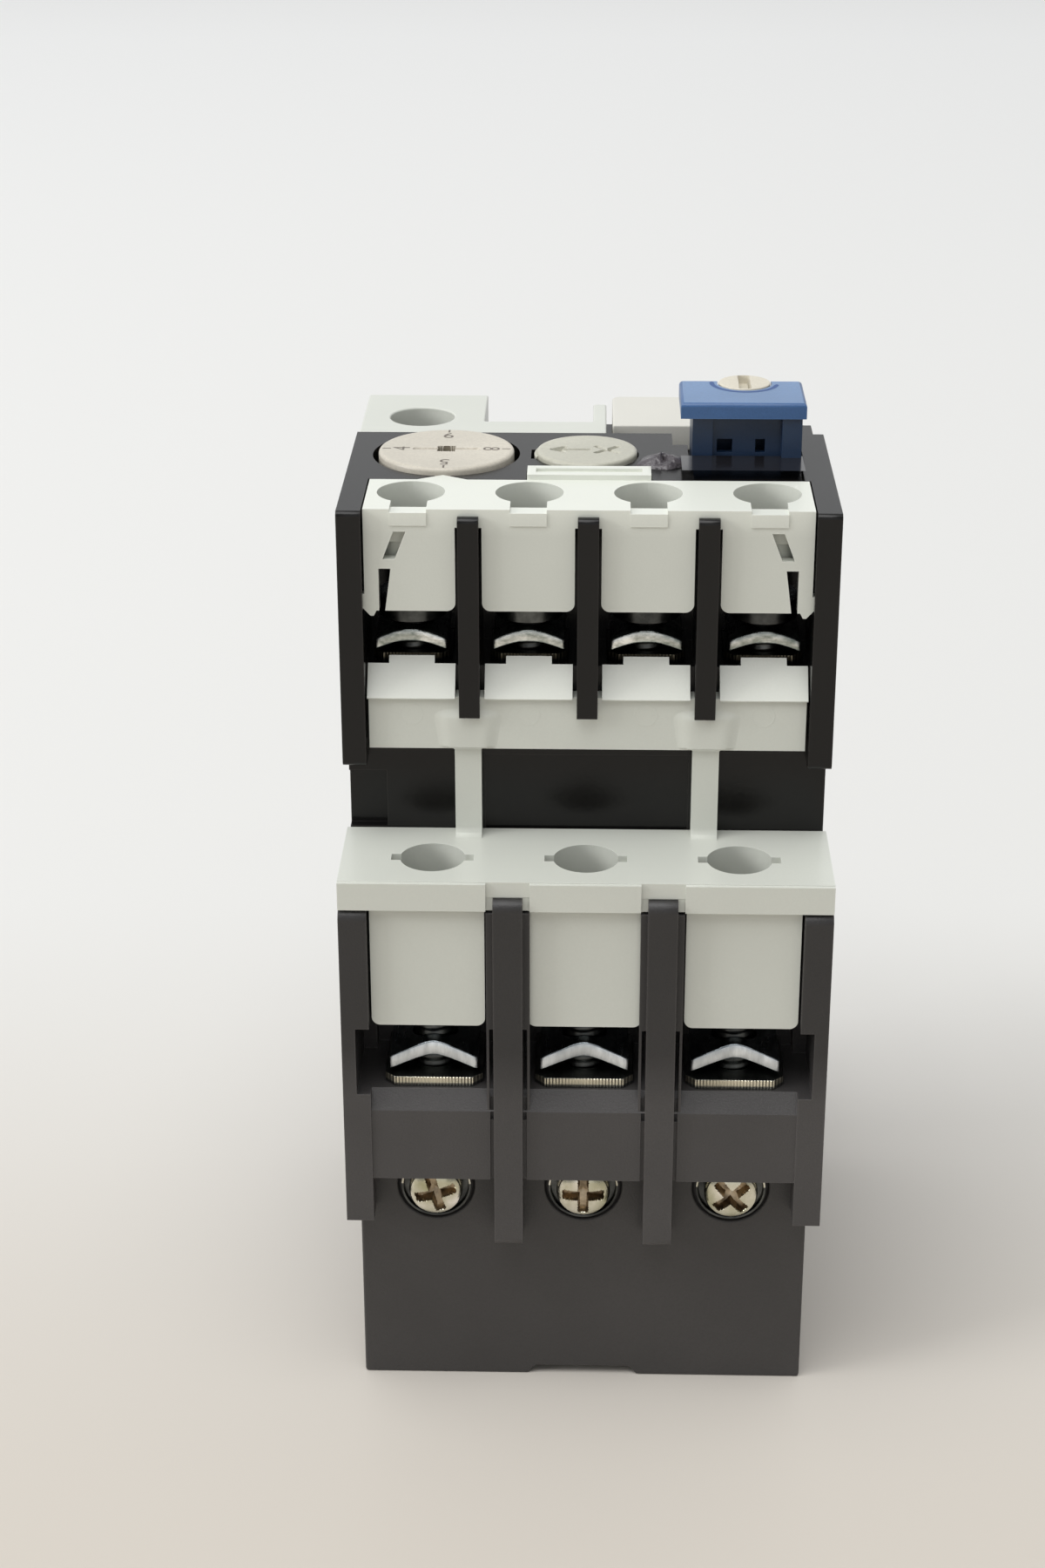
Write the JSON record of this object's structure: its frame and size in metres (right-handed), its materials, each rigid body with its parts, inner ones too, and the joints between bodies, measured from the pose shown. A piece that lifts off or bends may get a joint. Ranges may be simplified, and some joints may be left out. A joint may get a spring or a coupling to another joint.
{
  "type": "thermal overload relay",
  "caption": "Three-pole thermal overload relay with plug-in blades, screw terminals behind grey covers, setting dial, test button and blue reset button.",
  "frame": {"origin": "bottom face, middle of the part's bounding box", "axes": "+Z points away from the mounting panel, towards the dial and the buttons; -Y points out of the side with the load terminals; +X points to the right when the load terminals face the viewer"},
  "size_m": [0.045, 0.0668, 0.0929],
  "materials": {
    "black_moulding": "fine satin texture",
    "grey_moulding": "smooth satin",
    "cream_moulding": "smooth satin",
    "blue_moulding": "smooth satin",
    "zinc_steel": "bright zinc plated",
    "yellow_zinc": "yellow passivated zinc",
    "tinned_copper": "tinned",
    "bimetal_alloy": "rolled",
    "spring_steel": "drawn wire",
    "lacquer": "rough black lacquer"
  },
  "bodies": {
    "housing": {"base_housing": "black_moulding", "terminal_housing": "black_moulding", "front_housing": "black_moulding", "mechanism_frame": "black_moulding", "main_terminal_cover": "grey_moulding", "aux_terminal_cover": "grey_moulding", "coil_terminal_cover": "grey_moulding", "marker_plate": "cream_moulding", "main_plate_1": "zinc_steel", "main_plate_2": "zinc_steel", "main_plate_3": "zinc_steel", "aux_plate_1": "zinc_steel", "aux_plate_2": "zinc_steel", "aux_plate_3": "zinc_steel", "aux_plate_4": "zinc_steel", "coil_plate": "zinc_steel", "calibration_screw": "zinc_steel", "lever_pin": "zinc_steel", "fixing_screws": "yellow_zinc", "fixing_rings": "yellow_zinc", "connector_blade_1": "tinned_copper", "connector_blade_2": "tinned_copper", "connector_blade_3": "tinned_copper", "bimetal_1": "bimetal_alloy", "heater_1": "bimetal_alloy", "bimetal_2": "bimetal_alloy", "heater_2": "bimetal_alloy", "bimetal_3": "bimetal_alloy", "heater_3": "bimetal_alloy", "bimetal_brackets": "zinc_steel", "test_spring": "spring_steel", "reset_spring": "spring_steel", "calibration_seal": "lacquer"},
    "main_terminal_1": {"main_screw_1": "zinc_steel", "main_clamp_1": "zinc_steel"},
    "main_terminal_2": {"main_screw_2": "zinc_steel", "main_clamp_2": "zinc_steel"},
    "main_terminal_3": {"main_screw_3": "zinc_steel", "main_clamp_3": "zinc_steel"},
    "aux_terminal_1": {"aux_screw_1": "zinc_steel", "aux_clamp_1": "zinc_steel"},
    "aux_terminal_2": {"aux_screw_2": "zinc_steel", "aux_clamp_2": "zinc_steel"},
    "aux_terminal_3": {"aux_screw_3": "zinc_steel", "aux_clamp_3": "zinc_steel"},
    "aux_terminal_4": {"aux_screw_4": "zinc_steel", "aux_clamp_4": "zinc_steel"},
    "coil_terminal": {"coil_screw": "zinc_steel", "coil_clamp": "zinc_steel"},
    "dial": {"setting_dial": "cream_moulding", "setting_cam": "black_moulding"},
    "test": {"test_button": "cream_moulding"},
    "reset": {"reset_button": "blue_moulding"},
    "selector": {"mode_selector": "cream_moulding"},
    "trip_bar": {"trip_slide": "cream_moulding"},
    "differential_bar": {"differential_slide": "cream_moulding"},
    "lever": {"trip_lever": "cream_moulding"},
    "carrier": {"contact_carrier": "cream_moulding", "contact_bridge": "spring_steel"}
  },
  "joints": [
    {"name": "main_terminal_1_lift", "type": "slide", "parent": "housing", "child": "main_terminal_1", "axis": [0, 0, 1], "range_m": [-0.0003, 0.004]},
    {"name": "main_terminal_2_lift", "type": "slide", "parent": "housing", "child": "main_terminal_2", "axis": [0, 0, 1], "range_m": [-0.0003, 0.004]},
    {"name": "main_terminal_3_lift", "type": "slide", "parent": "housing", "child": "main_terminal_3", "axis": [0, 0, 1], "range_m": [-0.0003, 0.004]},
    {"name": "aux_terminal_1_lift", "type": "slide", "parent": "housing", "child": "aux_terminal_1", "axis": [0, 0, 1], "range_m": [-0.0003, 0.0035]},
    {"name": "aux_terminal_2_lift", "type": "slide", "parent": "housing", "child": "aux_terminal_2", "axis": [0, 0, 1], "range_m": [-0.0003, 0.0035]},
    {"name": "aux_terminal_3_lift", "type": "slide", "parent": "housing", "child": "aux_terminal_3", "axis": [0, 0, 1], "range_m": [-0.0003, 0.0035]},
    {"name": "aux_terminal_4_lift", "type": "slide", "parent": "housing", "child": "aux_terminal_4", "axis": [0, 0, 1], "range_m": [-0.0003, 0.0035]},
    {"name": "coil_terminal_lift", "type": "slide", "parent": "housing", "child": "coil_terminal", "axis": [0, 0, 1], "range_m": [-0.0003, 0.0035]},
    {"name": "dial_turn", "type": "hinge", "parent": "housing", "child": "dial", "pos_m": [-0.0135, -0.0058, 0.086], "axis": [0, 0, 1], "range_deg": [-120, 120]},
    {"name": "test_press", "type": "slide", "parent": "housing", "child": "test", "axis": [0, 0, -1], "range_m": [0, 0.0012], "stiffness_N_per_m": 400, "deforming": ["test_spring"]},
    {"name": "reset_press", "type": "slide", "parent": "housing", "child": "reset", "axis": [0, 0, -1], "range_m": [0, 0.0025], "stiffness_N_per_m": 300, "deforming": ["reset_spring"]},
    {"name": "selector_turn", "type": "hinge", "parent": "reset", "child": "selector", "pos_m": [0.0146, -0.0015, 0.092], "axis": [0, 0, 1], "range_deg": [0, 90]},
    {"name": "trip_bar_slide", "type": "slide", "parent": "housing", "child": "trip_bar", "axis": [1, 0, 0], "range_m": [0, 0.0018], "stiffness_N_per_m": 60},
    {"name": "differential_bar_slide", "type": "slide", "parent": "housing", "child": "differential_bar", "axis": [1, 0, 0], "range_m": [0, 0.0018]},
    {"name": "lever_turn", "type": "hinge", "parent": "housing", "child": "lever", "pos_m": [0.016, -0.004, 0.0605], "axis": [0, 1, 0], "range_deg": [-11, 0]},
    {"name": "carrier_slide", "type": "slide", "parent": "housing", "child": "carrier", "axis": [-1, 0, 0], "range_m": [0, 0.00172]}
  ],
  "couplings": [
    {"joint": "differential_bar_slide", "follows": "trip_bar_slide", "ratio": 1},
    {"joint": "lever_turn", "follows": "trip_bar_slide", "rad_per_m": -100},
    {"joint": "carrier_slide", "follows": "trip_bar_slide", "ratio": 0.95}
  ]
}
